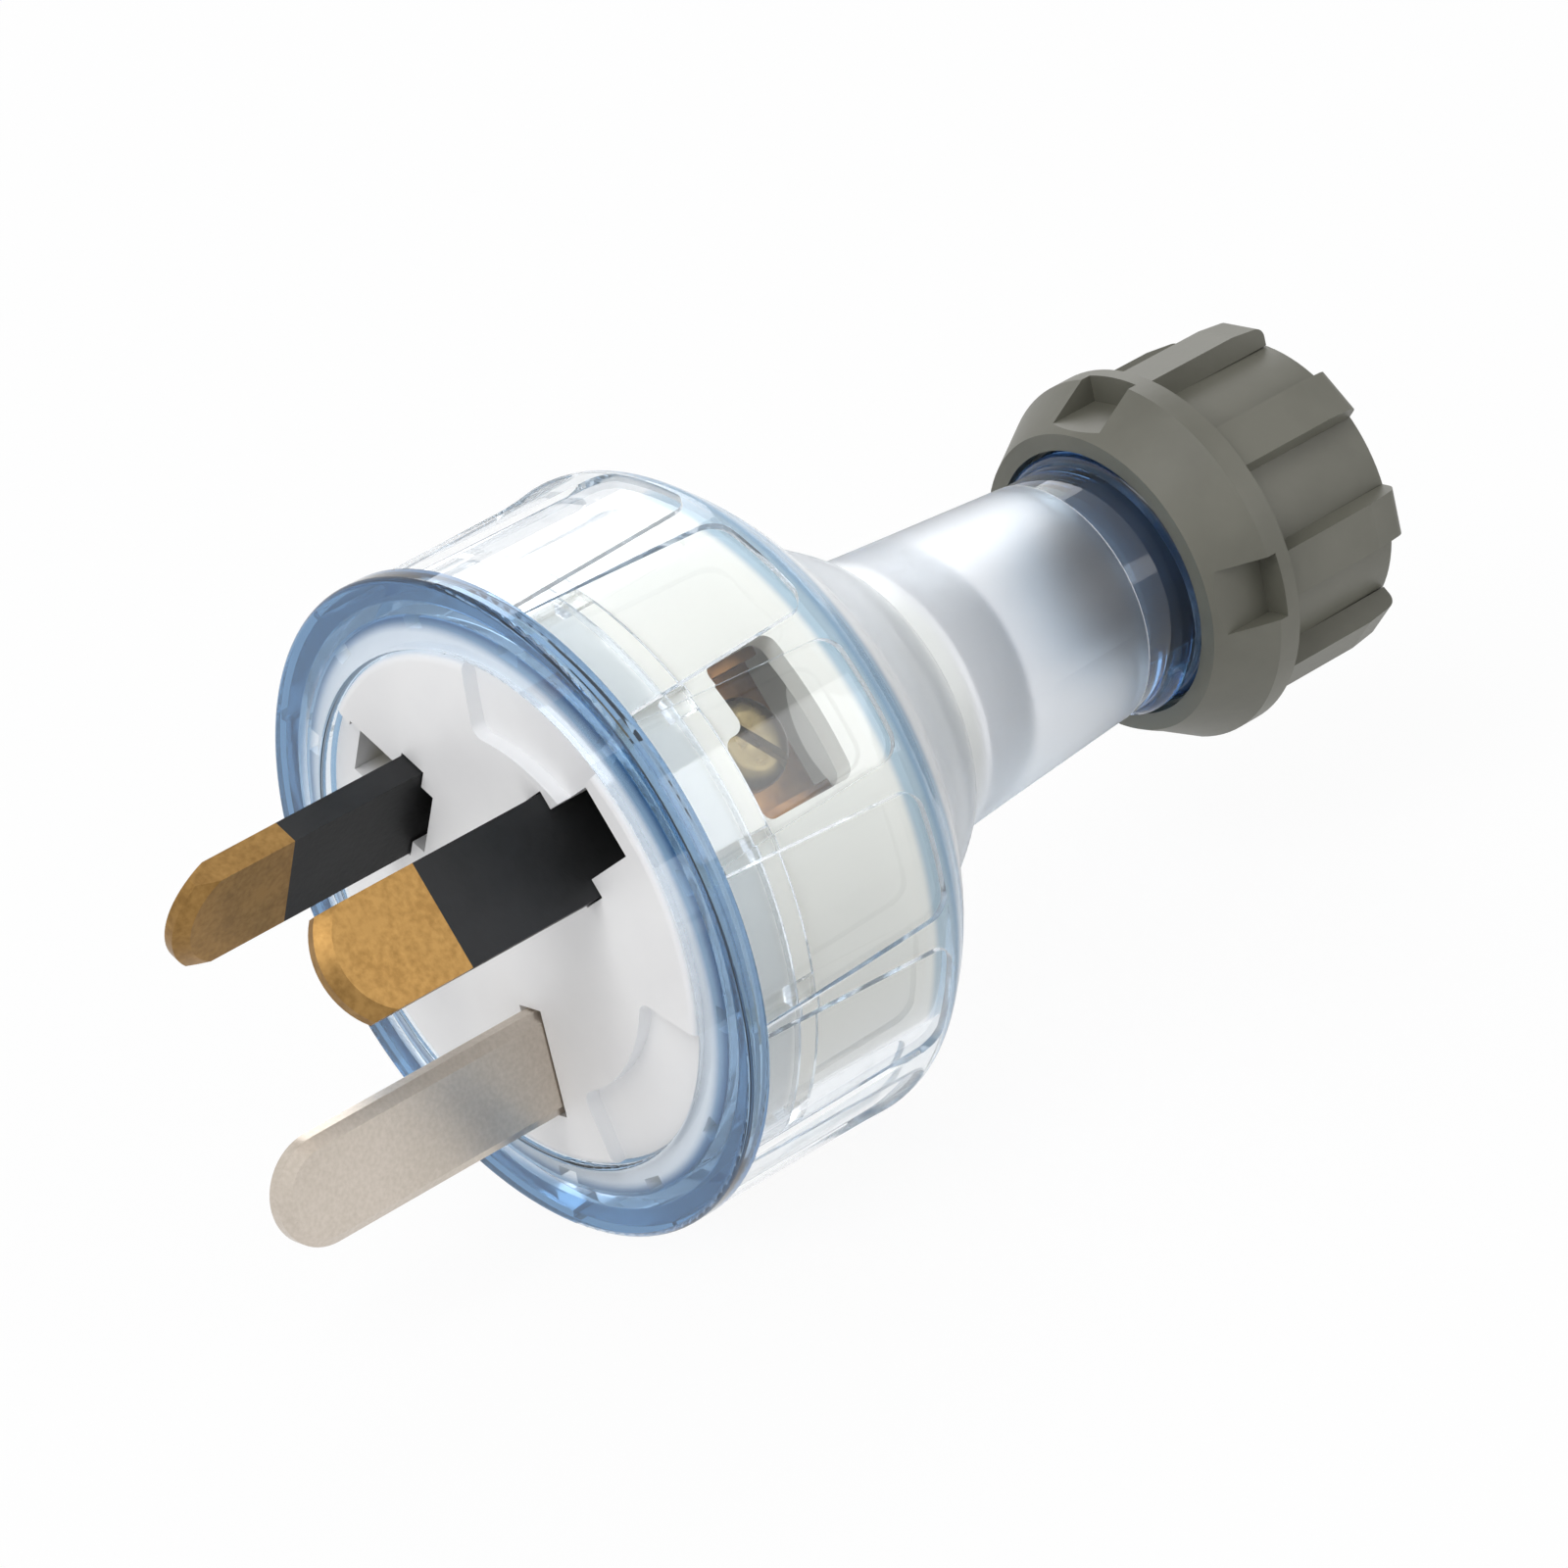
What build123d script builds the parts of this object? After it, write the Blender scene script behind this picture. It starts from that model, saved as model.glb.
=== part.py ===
# Rewireable three-pin mains plug with a clear barrel and a cord grip nut
#
# Frame: the plug lies with its axis along Y. The pins point to -Y, the cord
# leaves to +Y, +Z is up, and the earth pin is the lowest. The origin is the
# middle of the front face, where the plug meets the socket. "Depth" is the
# distance behind that face. All sizes are in millimetres.

import os
from math import cos, pi, radians, sin

from build123d import *

os.makedirs("parts", exist_ok=True)


# Pins: the standard flat pin pattern
pin_width = 6.35
pin_thickness = 1.63
line_pin_length = 16.6
earth_pin_length = 18.9
line_pin_radius = 7.92
earth_pin_radius = 10.31
line_pin_angle = 30
pattern_rise = 1.2
line_tip_radius = 4.6
line_tip_bevel = 0.5
line_tip_bevel_length = 0.85
earth_tip_bevel = 0.45
earth_tip_bevel_length = 0.6
core_width = 5.0
core_thickness = 0.83
tail_width = 4.4
tail_thickness = 0.9
tail_shift = -0.4
rivet_length = 0.8

# Insulating sleeves on the two line pins
sleeve_length = 8.9
sleeve_sink = 3.0
sleeve_flange_width = 4.1
sleeve_flange_inner = 1.8
sleeve_flange_outer = 5.0
moulded_fit = 0.02

# Barrel, seen as a clear shell with ribs and panels
barrel_radius = 19.57
panel_depth = 0.45
rib_count = 13
rib_offset_angle = 16.5
rib_front_width = 0.6
rib_rear_width = 2.1
panel_corner_radius = 1.3
cut_margin = 1.0
panel_rear = 14.6
rim_drop = 0.42
rim_length = 1.0
shoulder_drop = 2.4
shoulder_length = 3.15
shoulder_radius = 12.6
shoulder_depth = 21.8
flare_radius = 9.45
flare_depth = 26.0
neck_root_radius = 8.35
neck_root_depth = 30.0
neck_rear_radius = 7.45
neck_rear = 41.5
spigot_radius = 7.35
spigot_rear = 54.0
neck_bore_radius = 5.5
neck_bore_start = 33.0
ring_bore_wall = 1.1
shell_clearance = 0.2

# Clear locking ring at the front
ring_thickness = 1.35
ring_lip = 1.8
ring_skirt_thickness = 0.75
ring_skirt_length = 3.0
ring_edge_radius = 0.35
ring_gap = 0.1
seat_gap = 0.05
thread_clearance = 0.05

# White pin base
base_face_clearance = 0.1
base_flange_clearance = 0.17
base_disc_rear = 6.0
base_skirt_step = 0.7
base_skirt_wall = 1.5
base_rear = 14.4
base_clearance = 0.1
base_edge_radius = 0.5
key_depth = 0.7
key_width = 1.5
key_clearance = 0.1
key_root = 0.3
slot_clearance = 0.1
barrier_thickness = 1.4
barrier_root = 0.3
post_radius = 2.5
recess_depth = 0.9
recess_inner_radius = 10.8
recess_corner_radius = 0.8
recess_sectors = [(43, 84), (-74, -17), (138, 166)]
window_width = 8.4
window_front = 8.0
window_rear = 12.7
window_notch_front = 6.4
window_notch_width = 4.6
window_corner_radius = 0.7
pocket_clearance = 0.2

# Terminals and their screws
foot_thickness = 1.2
foot_width = 6.8
foot_inner = 1.4
plate_height = 2.0
plate_thickness = 1.2
plate_width = 8.8
plate_rear = 13.0
flange_height = 1.4
flange_thickness = 0.8
bend_radius = 0.5
screw_depth = 10.0
screw_radius = 1.45
screw_clearance = 0.05
screw_reach = 3.2
screw_head_radius = 2.5
screw_head_height = 1.7
screw_dome_radius = 1.0
screw_slot_width = 0.7
screw_slot_depth = 0.8
screw_slot_angle = 35

# White terminal cover that narrows to the neck
cover_wall = 1.5
cover_clearance = 0.3
cover_edge_rear = 15.6
cover_bulge = 0.25
cover_waist_radius = 9.6
cover_waist_step = 0.4
cover_cone_rear = 25.4
cover_tail_radius = 6.7
cover_tail_rear = 28.5
cover_bore_radius = 5.2

# Cord grip: bush, washer and nut
bush_front = 42.4
bush_clearance = 0.1
bush_bore_radius = 4.0
bush_flange_thickness = 1.5
bush_nose_radius = 1.0
washer_thickness = 1.0
washer_bore_radius = 4.4
grip_inset = 0.23
nut_front = 44.9
nut_front_radius = 9.17
thread_height = 0.5
nut_thread_clearance = 0.1
nut_mouth_radius = 8.15
nut_mouth_depth = 1.2
nut_flange_radius = 11.1
nut_flange_front = 48.3
nut_flange_rear = 49.8
nut_flange_slope = 0.9
nut_body_radius = 9.1
nut_rear_radius = 8.95
nut_rear = 59.5
nut_rib_count = 8
nut_rib_radius = 10.4
nut_rib_rear_radius = 10.1
nut_rib_taper_start = 57.0
nut_rib_width = 2.8
nut_rib_rear_gap = 0.1
nut_rib_root = 1.0
nut_rib_corner = 0.7
nut_pocket_count = 4
nut_pocket_width = 3.9
nut_pocket_floor = 9.35
nut_pocket_rear = 48.9
nut_cord_radius = 4.75
nut_cord_chamfer = 0.6

# Sizes worked out from the ones above
panel_radius = barrel_radius - panel_depth
rib_pitch = 2 * pi * barrel_radius / rib_count
ring_skirt_outer = panel_radius - ring_bore_wall
ring_skirt_inner = ring_skirt_outer - ring_skirt_thickness
ring_bore_radius = ring_skirt_outer + thread_clearance
base_flange_radius = ring_skirt_inner - base_flange_clearance
base_skirt_radius = base_flange_radius - base_skirt_step
ring_inner_radius = base_flange_radius - ring_lip
ring_bore_rear = ring_thickness + ring_skirt_length + ring_gap
ring_seat = ring_thickness + seat_gap
flange_seat = base_disc_rear + seat_gap
base_face_radius = ring_inner_radius - base_face_clearance
flange_bore_radius = base_flange_radius + base_clearance
skirt_inner_radius = base_skirt_radius - base_skirt_wall
shell_bore_radius = base_skirt_radius + shell_clearance
tail_bore_radius = cover_tail_radius + cover_clearance
cover_waist_depth = shoulder_depth + cover_waist_step
cover_arc_radius = (base_skirt_radius + cover_waist_radius) / 2 + cover_bulge
cover_arc_depth = (cover_edge_rear + cover_waist_depth) / 2 + cover_bulge
plate_outer = plate_height + plate_thickness
fold_top = plate_outer + flange_height
bush_radius = neck_bore_radius - bush_clearance
washer_front = spigot_rear + bush_flange_thickness
nut_floor = washer_front + washer_thickness
nut_bore_radius = spigot_radius + thread_height + nut_thread_clearance
grip_radius = spigot_radius - grip_inset

# Angles are measured from +X towards +Z
rib_angles = [rib_offset_angle + 360 / rib_count * i for i in range(rib_count)]
terminal_angles = {"active": line_pin_angle, "neutral": 180 - line_pin_angle, "earth": -90}
barrier_start_angle = 90


def direction(angle):
    """Unit vector at an angle in the plane across the plug."""
    return Vector(cos(radians(angle)), 0, sin(radians(angle)))


def turned(part, angle):
    """Copy of a part turned about the plug's axis, from +X towards +Z."""
    return part.rotate(Axis.Y, -angle)


def pin_centre(name):
    """Middle of a pin on the front face."""
    radius = earth_pin_radius if name == "earth" else line_pin_radius
    return Vector(0, 0, pattern_rise) + direction(terminal_angles[name]) * radius


def blade_plane(name):
    """Plane in the middle of a pin's blade: x across its width, y to its tip."""
    across = 0 if name == "earth" else terminal_angles[name]
    return Plane(origin=pin_centre(name), x_dir=direction(across + 90), z_dir=direction(across))


def terminal_plane(name, depth):
    """Plane across the plug at a depth: x tangential, y outward from the pin."""
    angle = terminal_angles[name]
    origin = pin_centre(name) + Vector(0, depth, 0)
    return Plane(origin=origin, x_dir=direction(angle + 90), z_dir=(0, 1, 0))


def screw_plane(name, height):
    """Plane that faces outward from a pin: x tangential, at a height above the pin."""
    angle = terminal_angles[name]
    origin = pin_centre(name) + direction(angle) * height + Vector(0, screw_depth, 0)
    return Plane(origin=origin, x_dir=direction(angle + 90), z_dir=direction(angle))


def window_plane(name):
    """Plane that faces outward in front of the skirt window of a terminal."""
    angle = terminal_angles[name]
    middle = Vector(0, (window_front + window_rear) / 2, 0)
    origin = pin_centre(name) + direction(angle) * fold_top + middle
    return Plane(origin=origin, x_dir=direction(angle + 90), z_dir=direction(angle))


def axial_plane(depth):
    """Plane across the plug, centred on its axis, that faces to the rear."""
    return Plane(origin=(0, depth, 0), x_dir=(1, 0, 0), z_dir=(0, 1, 0))


def recess_point(radius, angle):
    """Point on an axial plane, whose y runs down."""
    return (radius * cos(radians(angle)), -radius * sin(radians(angle)))


def save(builder, name):
    """Label a finished piece and write it."""
    builder.part.label = name
    export_step(builder.part, f"parts/{name}.step")


def bevel_tip(pin, across, along):
    """Bevel both edges of an arched tip: across the blade's thickness and along the blade."""
    tip_face = pin.faces().filter_by(GeomType.CYLINDER)[0]
    chamfer(pin.edges().filter_by(GeomType.CIRCLE), across, along, reference=tip_face)


# Line pins: a blade with an arched tip, a thinner core inside the sleeve, and a rivet tail
def make_line_pin(name):
    half = pin_width / 2
    shoulder = line_pin_length - (line_tip_radius - (line_tip_radius**2 - half**2) ** 0.5)
    with BuildPart() as pin:
        with BuildSketch(blade_plane(name)):
            with BuildLine():
                Polyline((-half, shoulder), (-half, sleeve_length), (half, sleeve_length), (half, shoulder))
                ThreePointArc((half, shoulder), (0, line_pin_length), (-half, shoulder))
            make_face()
        extrude(amount=pin_thickness / 2, both=True)
        bevel_tip(pin, line_tip_bevel, line_tip_bevel_length)
        rear = base_disc_rear + foot_thickness + rivet_length
        with BuildSketch(blade_plane(name)):
            with Locations((0, (sleeve_length - rear) / 2)):
                Rectangle(core_width, sleeve_length + rear)
        extrude(amount=core_thickness / 2, both=True)
    return pin


for name in ("active", "neutral"):
    save(make_line_pin(name), f"{name}_pin")


# Earth pin: longer, bare, with a round tip
with BuildPart() as earth_pin:
    half = pin_width / 2
    straight = earth_pin_length - half
    with BuildSketch(blade_plane("earth")):
        with BuildLine():
            Polyline((-half, straight), (-half, -base_disc_rear), (half, -base_disc_rear), (half, straight))
            ThreePointArc((half, straight), (0, earth_pin_length), (-half, straight))
        make_face()
    extrude(amount=pin_thickness / 2, both=True)
    bevel_tip(earth_pin, earth_tip_bevel, earth_tip_bevel_length)
    with BuildSketch(terminal_plane("earth", base_disc_rear)):
        with Locations((0, tail_shift)):
            Rectangle(tail_thickness, tail_width)
    extrude(amount=foot_thickness + rivet_length)
save(earth_pin, "earth_pin")


# Sleeves: a thin black tube on the blade, with a flange sunk in the base
def sleeve_outline(clearance):
    """Blade section joined with the flange section."""
    Rectangle(pin_width + 2 * clearance, pin_thickness + 2 * clearance)
    flange_span = sleeve_flange_inner + sleeve_flange_outer + 2 * clearance
    with Locations((0, (sleeve_flange_outer - sleeve_flange_inner) / 2)):
        Rectangle(sleeve_flange_width + 2 * clearance, flange_span)


def make_sleeve(name):
    with BuildPart() as sleeve:
        with BuildSketch(terminal_plane(name, -sleeve_length)):
            Rectangle(pin_width, pin_thickness)
        extrude(amount=sleeve_length + sleeve_sink)
        with BuildSketch(terminal_plane(name, sleeve_sink)):
            sleeve_outline(0)
        extrude(amount=base_disc_rear - sleeve_sink)
        with BuildSketch(terminal_plane(name, -sleeve_length)):
            Rectangle(core_width + 2 * moulded_fit, core_thickness + 2 * moulded_fit)
        extrude(amount=sleeve_length + base_disc_rear, mode=Mode.SUBTRACT)
    return sleeve


for name in ("active", "neutral"):
    save(make_sleeve(name), f"{name}_sleeve")


# Terminals: a folded brass strip, a foot riveted on the pin and a trough for the wire
def make_terminal(name):
    half = plate_width / 2
    trough = half - flange_thickness
    with BuildPart() as terminal:
        with BuildSketch(terminal_plane(name, base_disc_rear)):
            with Locations((0, (plate_height - foot_inner) / 2)):
                Rectangle(foot_width, plate_height + foot_inner)
        extrude(amount=foot_thickness)
        with BuildSketch(terminal_plane(name, base_disc_rear)) as strip:
            with BuildLine():
                Polyline(
                    (-half, plate_height),
                    (half, plate_height),
                    (half, fold_top),
                    (trough, fold_top),
                    (trough, plate_outer),
                    (-trough, plate_outer),
                    (-trough, fold_top),
                    (-half, fold_top),
                    close=True,
                )
            make_face()
            fillet(strip.vertices().group_by(Axis.Y)[0], bend_radius)
        extrude(amount=plate_rear - base_disc_rear)
        with BuildSketch(terminal_plane(name, base_disc_rear)):
            if name == "earth":
                with Locations((0, tail_shift)):
                    Rectangle(tail_thickness + 2 * moulded_fit, tail_width + 2 * moulded_fit)
            else:
                Rectangle(core_width + 2 * moulded_fit, core_thickness + 2 * moulded_fit)
        extrude(amount=foot_thickness, mode=Mode.SUBTRACT)
        with BuildSketch(screw_plane(name, plate_height)):
            Circle(screw_radius + screw_clearance)
        extrude(amount=plate_thickness, mode=Mode.SUBTRACT)
    return terminal


# Terminal screws: a domed slotted head and a plain shank in place of the thread
def make_terminal_screw(name):
    outward = Axis(origin=(0, 0, 0), direction=direction(terminal_angles[name]))
    with BuildPart() as screw:
        with BuildSketch(screw_plane(name, plate_outer)):
            Circle(screw_head_radius)
        extrude(amount=screw_head_height)
        rim = screw.edges().filter_by(GeomType.CIRCLE).sort_by(outward)[-1]
        fillet(rim, screw_dome_radius)
        with BuildSketch(screw_plane(name, plate_outer - screw_reach)):
            Circle(screw_radius)
        extrude(amount=screw_reach)
        with BuildSketch(screw_plane(name, plate_outer + screw_head_height - screw_slot_depth)):
            Rectangle(2 * screw_head_radius + cut_margin, screw_slot_width, rotation=screw_slot_angle)
        extrude(amount=screw_slot_depth + cut_margin, mode=Mode.SUBTRACT)
    return screw


for name in terminal_angles:
    save(make_terminal(name), f"{name}_terminal")
    save(make_terminal_screw(name), f"{name}_terminal_screw")


# One recessed panel of the barrel, and one key that stops the base from turning
with BuildPart() as panel_cutter:
    front_half = (rib_pitch - rib_front_width) / 2
    rear_half = (rib_pitch - rib_rear_width) / 2
    with BuildSketch(Plane(origin=(0, 0, 0), x_dir=(0, 1, 0), z_dir=(1, 0, 0))):
        with BuildLine():
            Polyline(
                (ring_thickness - cut_margin, -front_half),
                (panel_rear, -rear_half),
                (panel_rear, rear_half),
                (ring_thickness - cut_margin, front_half),
                close=True,
            )
        make_face()
    extrude(amount=barrel_radius + cut_margin)
    fillet(panel_cutter.edges().filter_by(Axis.X).group_by(Axis.Y)[-1], panel_corner_radius)
    with BuildSketch(axial_plane(0)):
        Circle(panel_radius)
    extrude(amount=neck_rear, both=True, mode=Mode.SUBTRACT)

with BuildPart() as key:
    with BuildSketch(axial_plane(ring_bore_rear)):
        with Locations((flange_bore_radius - key_depth / 2 + key_root / 2, 0)):
            Rectangle(key_depth + key_root, key_width - 2 * key_clearance)
    extrude(amount=base_disc_rear - ring_bore_rear)


# Clear shell: barrel, rounded shoulder, tapered neck and threaded spigot, moulded as one
with BuildPart() as shell:
    with BuildSketch():
        with BuildLine():
            Polyline(
                (barrel_radius, ring_seat),
                (barrel_radius, panel_rear),
            )
            Spline(
                (barrel_radius, panel_rear),
                (barrel_radius - rim_drop, panel_rear + rim_length),
                (barrel_radius - shoulder_drop, panel_rear + shoulder_length),
                (shoulder_radius, shoulder_depth),
                (flare_radius, flare_depth),
                (neck_root_radius, neck_root_depth),
                tangents=[(0, 1), (neck_rear_radius - neck_root_radius, neck_rear - neck_root_depth)],
            )
            Polyline(
                (neck_root_radius, neck_root_depth),
                (neck_rear_radius, neck_rear),
                (spigot_radius, neck_rear),
                (spigot_radius, spigot_rear),
                (neck_bore_radius, spigot_rear),
                (neck_bore_radius, neck_bore_start),
                (tail_bore_radius, cover_tail_rear + cover_clearance),
                (tail_bore_radius, cover_cone_rear + cover_clearance),
                (cover_waist_radius + cover_clearance, cover_waist_depth + cover_clearance),
            )
            ThreePointArc(
                (cover_waist_radius + cover_clearance, cover_waist_depth + cover_clearance),
                (cover_arc_radius + cover_clearance, cover_arc_depth + cover_clearance),
                (shell_bore_radius, cover_edge_rear + cover_clearance),
            )
            Polyline(
                (shell_bore_radius, cover_edge_rear + cover_clearance),
                (shell_bore_radius, flange_seat),
                (flange_bore_radius, flange_seat),
                (flange_bore_radius, ring_bore_rear),
                (ring_bore_radius, ring_bore_rear),
                (ring_bore_radius, ring_seat),
                (barrel_radius, ring_seat),
            )
        make_face()
    revolve(axis=Axis.Y)
    for angle in rib_angles:
        add(turned(panel_cutter.part, angle + 180 / rib_count), mode=Mode.SUBTRACT)
        add(turned(key.part, angle))
save(shell, "shell")


# Clear locking ring: a flat flange in front and a skirt that screws into the shell
with BuildPart() as front_ring:
    with BuildSketch():
        with BuildLine():
            Polyline(
                (ring_inner_radius, 0),
                (barrel_radius, 0),
                (barrel_radius, ring_thickness),
                (ring_skirt_outer, ring_thickness),
                (ring_skirt_outer, ring_thickness + ring_skirt_length),
                (ring_skirt_inner, ring_thickness + ring_skirt_length),
                (ring_skirt_inner, ring_thickness),
                (ring_inner_radius, ring_thickness),
                close=True,
            )
        make_face()
    revolve(axis=Axis.Y)
    front_edges = front_ring.edges().filter_by(GeomType.CIRCLE).group_by(Axis.Y)[0]
    fillet(front_edges, ring_edge_radius)
save(front_ring, "front_ring")


# White pin base: a thick disc that holds the pins, with a skirt round the terminals
with BuildPart() as pin_base:
    with BuildSketch():
        with BuildLine():
            Polyline(
                (0, 0),
                (base_face_radius, 0),
                (base_face_radius, ring_seat),
                (base_flange_radius, ring_seat),
                (base_flange_radius, base_disc_rear),
                (base_skirt_radius, base_disc_rear),
                (base_skirt_radius, base_rear),
                (skirt_inner_radius, base_rear),
                (skirt_inner_radius, base_disc_rear),
                (0, base_disc_rear),
                close=True,
            )
        make_face()
    revolve(axis=Axis.Y)
    fillet(pin_base.edges().filter_by(GeomType.CIRCLE).group_by(Axis.Y)[0], base_edge_radius)

    # notches for the keys of the shell
    with BuildSketch(axial_plane(ring_seat)):
        with PolarLocations(base_flange_radius, rib_count, start_angle=-rib_offset_angle):
            Rectangle(2 * key_depth, key_width)
    extrude(amount=base_disc_rear - ring_seat, mode=Mode.SUBTRACT)

    # shallow finger recesses in the front face
    with BuildSketch(axial_plane(0)) as recesses:
        for first, last in recess_sectors:
            with BuildLine():
                inner_start = recess_point(recess_inner_radius, first)
                inner_middle = recess_point(recess_inner_radius, (first + last) / 2)
                inner_end = recess_point(recess_inner_radius, last)
                outer_start = recess_point(base_flange_radius, first)
                outer_middle = recess_point(base_flange_radius, (first + last) / 2)
                outer_end = recess_point(base_flange_radius, last)
                Line(inner_start, outer_start)
                ThreePointArc(outer_start, outer_middle, outer_end)
                Line(outer_end, inner_end)
                ThreePointArc(inner_end, inner_middle, inner_start)
            make_face()
        fillet(recesses.vertices(), recess_corner_radius)
    extrude(amount=recess_depth, mode=Mode.SUBTRACT)

    # cross walls that keep the three terminals apart
    with BuildSketch(axial_plane(base_disc_rear)):
        Circle(post_radius)
        barrier_length = skirt_inner_radius + barrier_root
        with PolarLocations(barrier_length / 2, len(terminal_angles), start_angle=-barrier_start_angle):
            Rectangle(barrier_length, barrier_thickness)
    extrude(amount=base_rear - base_disc_rear)

    # slots for the pins and sleeves
    for name in ("active", "neutral"):
        with BuildSketch(terminal_plane(name, 0)):
            sleeve_outline(slot_clearance)
        extrude(amount=base_disc_rear, mode=Mode.SUBTRACT)
    with BuildSketch(terminal_plane("earth", 0)):
        Rectangle(pin_thickness + 2 * slot_clearance, pin_width + 2 * slot_clearance)
    extrude(amount=base_disc_rear, mode=Mode.SUBTRACT)

    # room for each terminal, and a window in the skirt to reach its screw
    for name in terminal_angles:
        with BuildSketch(terminal_plane(name, base_disc_rear)):
            pocket_height = fold_top + pocket_clearance
            with Locations((0, pocket_height / 2)):
                Rectangle(plate_width + 2 * pocket_clearance, pocket_height)
        extrude(amount=base_rear - base_disc_rear, mode=Mode.SUBTRACT)
        with BuildSketch(window_plane(name)) as window:
            half = window_width / 2
            rear = (window_front - window_rear) / 2
            notch_front = (window_front + window_rear) / 2 - window_notch_front
            notch_side = window_notch_width - half
            with BuildLine():
                Polyline(
                    (-half, rear),
                    (half, rear),
                    (half, -rear),
                    (notch_side, -rear),
                    (notch_side, notch_front),
                    (-half, notch_front),
                    close=True,
                )
            make_face()
            fillet(window.vertices(), window_corner_radius)
        extrude(amount=base_skirt_radius, mode=Mode.SUBTRACT)
save(pin_base, "pin_base")


# White terminal cover: a funnel that closes the base and leads the cord to the neck
with BuildPart() as terminal_cover:
    with BuildSketch():
        with BuildLine():
            Polyline(
                (skirt_inner_radius, cover_edge_rear),
                (skirt_inner_radius, base_rear),
                (base_skirt_radius, base_rear),
                (base_skirt_radius, cover_edge_rear),
            )
            ThreePointArc(
                (base_skirt_radius, cover_edge_rear),
                (cover_arc_radius, cover_arc_depth),
                (cover_waist_radius, cover_waist_depth),
            )
            Polyline(
                (cover_waist_radius, cover_waist_depth),
                (cover_tail_radius, cover_cone_rear),
                (cover_tail_radius, cover_tail_rear),
                (cover_bore_radius, cover_tail_rear),
                (cover_bore_radius, cover_cone_rear - cover_wall / 2),
                (cover_waist_radius - cover_wall / 2, cover_waist_depth - cover_wall),
            )
            ThreePointArc(
                (cover_waist_radius - cover_wall / 2, cover_waist_depth - cover_wall),
                (cover_arc_radius - cover_wall, cover_arc_depth - cover_wall / 2),
                (skirt_inner_radius, cover_edge_rear),
            )
        make_face()
    revolve(axis=Axis.Y)
save(terminal_cover, "terminal_cover")


# Cord grip bush: a soft sleeve in the neck with a flange on the end of the spigot
with BuildPart() as cord_grip_bush:
    with BuildSketch():
        with BuildLine():
            Polyline(
                (bush_bore_radius, bush_front),
                (bush_radius, bush_front),
                (bush_radius, spigot_rear),
                (grip_radius, spigot_rear),
                (grip_radius, washer_front),
                (bush_bore_radius, washer_front),
                close=True,
            )
        make_face()
    revolve(axis=Axis.Y)
    nose = cord_grip_bush.edges().filter_by(GeomType.CIRCLE).group_by(Axis.Y)[0].sort_by(SortBy.RADIUS)[-1]
    fillet(nose, bush_nose_radius)
save(cord_grip_bush, "cord_grip_bush")


# Grip washer: it turns with the nut and spares the soft bush
with BuildPart() as grip_washer:
    with BuildSketch(axial_plane(washer_front)):
        Circle(grip_radius)
        Circle(washer_bore_radius, mode=Mode.SUBTRACT)
    extrude(amount=washer_thickness)
save(grip_washer, "grip_washer")


# Cord grip nut: a conical flange with four pockets, and eight ribs round the body
with BuildPart() as nut_rib:
    with BuildSketch(Plane.XY.offset(-nut_rib_width / 2)):
        with BuildLine():
            Polyline(
                (nut_bore_radius + nut_rib_root, nut_flange_rear - nut_rib_root),
                (nut_rib_radius, nut_flange_rear - nut_rib_root),
                (nut_rib_radius, nut_rib_taper_start),
                (nut_rib_rear_radius, nut_rear - nut_rib_rear_gap),
                (nut_bore_radius + nut_rib_root, nut_rear - nut_rib_rear_gap),
                close=True,
            )
        make_face()
    extrude(amount=nut_rib_width)
    fillet(nut_rib.faces().sort_by(Axis.Y)[-1].edges().sort_by(Axis.X)[-1], nut_rib_corner)

with BuildPart() as nut_pocket:
    with BuildSketch(Plane(origin=(nut_pocket_floor, nut_pocket_rear, 0), x_dir=(0, 0, 1), z_dir=(1, 0, 0))):
        with Locations((0, (nut_pocket_rear - nut_front + cut_margin) / 2)):
            Rectangle(nut_pocket_width, nut_pocket_rear - nut_front + cut_margin)
    extrude(amount=nut_flange_radius)

with BuildPart() as cord_grip_nut:
    with BuildSketch():
        with BuildLine():
            Polyline(
                (nut_mouth_radius, nut_front),
                (nut_front_radius, nut_front),
                (nut_flange_radius, nut_flange_front),
                (nut_flange_radius, nut_flange_rear),
                (nut_body_radius, nut_flange_rear + nut_flange_slope),
                (nut_rear_radius, nut_rear),
                (nut_cord_radius, nut_rear),
                (nut_cord_radius, nut_floor),
                (nut_bore_radius, nut_floor),
                (nut_bore_radius, nut_front + nut_mouth_depth),
                (nut_mouth_radius, nut_front + nut_mouth_depth),
                close=True,
            )
        make_face()
    revolve(axis=Axis.Y)
    rear_edges = cord_grip_nut.edges().filter_by(GeomType.CIRCLE).group_by(Axis.Y)[-1]
    chamfer(rear_edges.sort_by(SortBy.RADIUS)[0], nut_cord_chamfer)
    for i in range(nut_rib_count):
        add(turned(nut_rib.part, 360 / nut_rib_count * i))
    for i in range(nut_pocket_count):
        add(turned(nut_pocket.part, 360 / nut_pocket_count * i), mode=Mode.SUBTRACT)
save(cord_grip_nut, "cord_grip_nut")
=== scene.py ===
# %% [markdown]
# A see-through mains plug in Blender
#
# The real plug is a clear ribbed barrel with a white base and three pins in
# it, a frosted neck, and a grey nut that grips the cord. The CAD model has all
# of its solids at their real size, so they could be modelled again here but
# needn't be. Blender adds what the CAD can't say: a studio, a finish for every
# material, and the two screw threads, which the CAD leaves as cylinders.

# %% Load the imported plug
from math import pi, radians

import bpy
from mathutils import Matrix, Vector


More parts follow.
